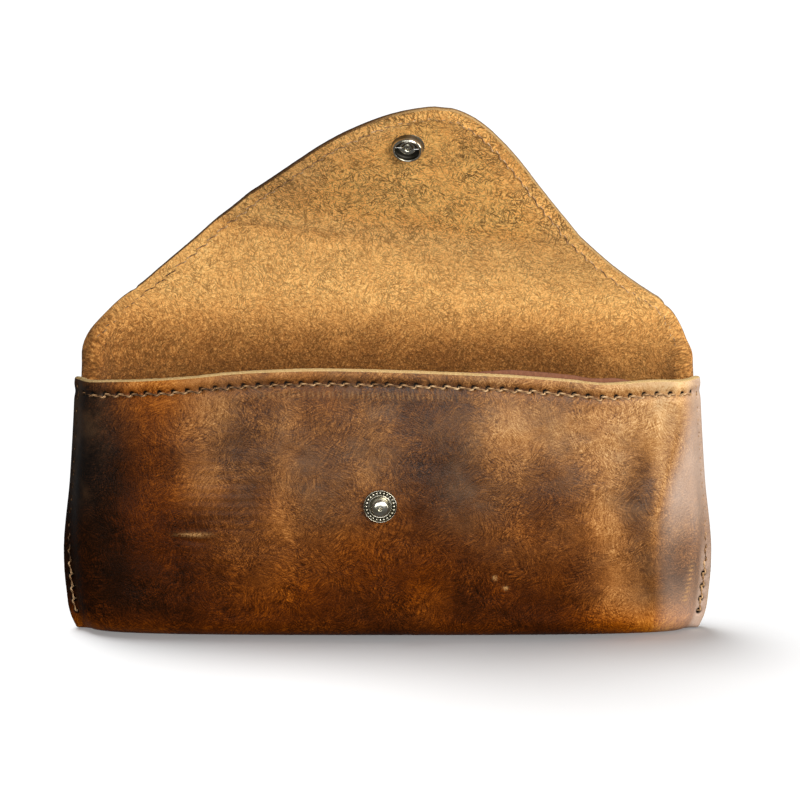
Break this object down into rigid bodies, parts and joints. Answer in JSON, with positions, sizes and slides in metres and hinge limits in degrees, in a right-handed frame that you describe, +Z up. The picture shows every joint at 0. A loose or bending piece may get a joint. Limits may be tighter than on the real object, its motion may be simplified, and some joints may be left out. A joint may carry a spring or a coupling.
{
  "type": "spectacles case",
  "caption": "Soft leather spectacles case standing on its base, its folding flap open, with a ring snap to close it.",
  "frame": {"origin": "centre of the flat base that the case stands on", "axes": "+X along the case's length to the right, +Y towards the back leaf, +Z up out of the mouth"},
  "size_m": [0.1854, 0.0349, 0.156],
  "materials": {
    "hide": "oiled pull-up grain outside, raw suede inside",
    "facing": "thin matt strip",
    "thread": "twisted waxed thread",
    "nickel": "polished nickel plate",
    "spring_wire": "bright drawn wire"
  },
  "bodies": {
    "pocket": {"hide_body": "hide", "mouth_facing": "facing", "mouth_seam_needle_thread": "thread", "mouth_seam_bobbin_thread": "thread", "left_seam_needle_thread": "thread", "left_seam_bobbin_thread": "thread", "right_seam_needle_thread": "thread", "right_seam_bobbin_thread": "thread", "snap_stud": "nickel", "stud_eyelet": "nickel"},
    "flap_bridge": {"hide_flap_bridge": "hide", "bridge_left_needle_thread": "thread", "bridge_left_bobbin_thread": "thread", "bridge_right_needle_thread": "thread", "bridge_right_bobbin_thread": "thread"},
    "flap_front": {"hide_flap_front": "hide", "flap_edge_needle_thread": "thread", "flap_edge_bobbin_thread": "thread", "snap_cap": "nickel", "snap_socket": "nickel", "socket_spring_left": "spring_wire", "socket_spring_right": "spring_wire"}
  },
  "joints": [
    {"name": "back_fold", "type": "hinge", "parent": "pocket", "child": "flap_bridge", "pos_m": [-0.001, 0.0133, 0.0795], "axis": [0.9991, -0.0305, -0.0305], "range_deg": [-90, 90.05]},
    {"name": "front_fold", "type": "hinge", "parent": "flap_bridge", "child": "flap_front", "pos_m": [0.00083, 0.0133, 0.10944], "axis": [0.9892, -0.0985, -0.1083], "range_deg": [-50, 50.3]}
  ]
}
